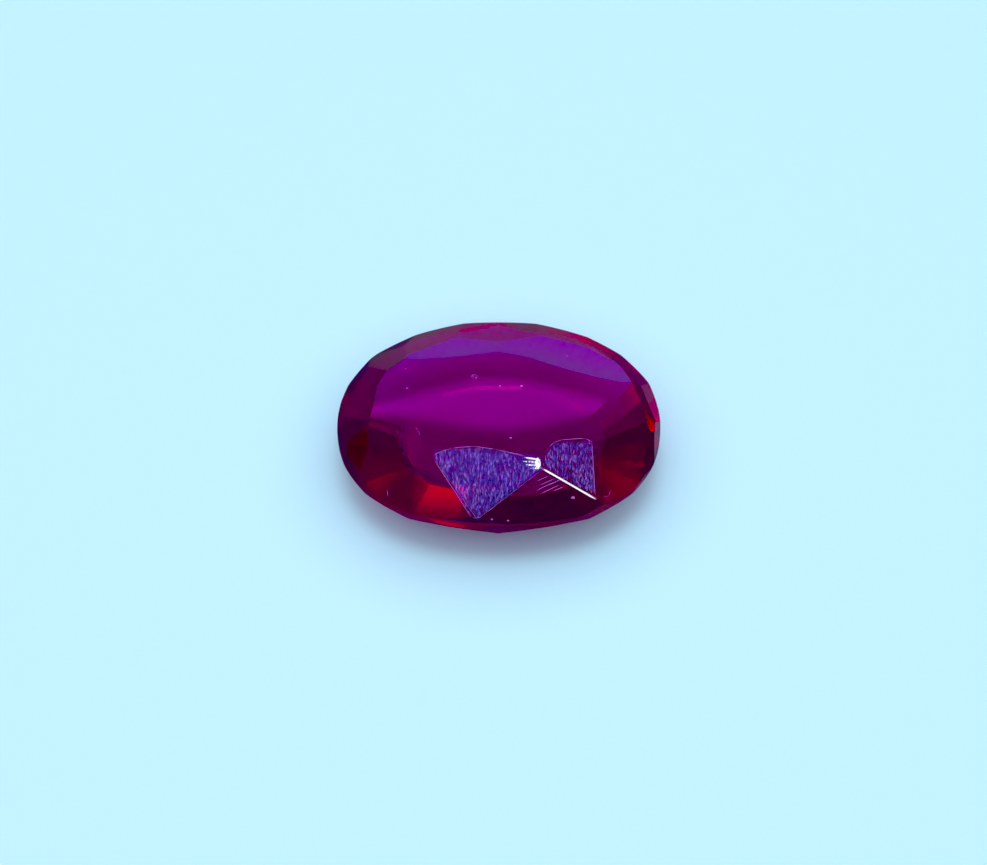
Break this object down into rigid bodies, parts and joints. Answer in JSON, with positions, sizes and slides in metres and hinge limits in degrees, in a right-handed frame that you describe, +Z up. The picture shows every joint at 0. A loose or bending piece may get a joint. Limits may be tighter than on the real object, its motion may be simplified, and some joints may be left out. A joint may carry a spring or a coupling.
{
  "type": "faceted oval ruby gemstone",
  "caption": "Oval faceted ruby with a worn table, brilliant crown, thin girdle and shallow pavilion ending in a flat culet it rests on.",
  "frame": {"origin": "middle of the oval outline, at the level of the flat culet that the stone rests on", "axes": "+X along the stone's length, +Y across its width, +Z up through the table"},
  "size_m": [0.008, 0.006, 0.0024],
  "materials": {
    "ruby": "polished, with worn facet edges and two scuffed crown facets"
  },
  "bodies": {
    "root": {"ruby": "ruby"}
  },
  "joints": []
}
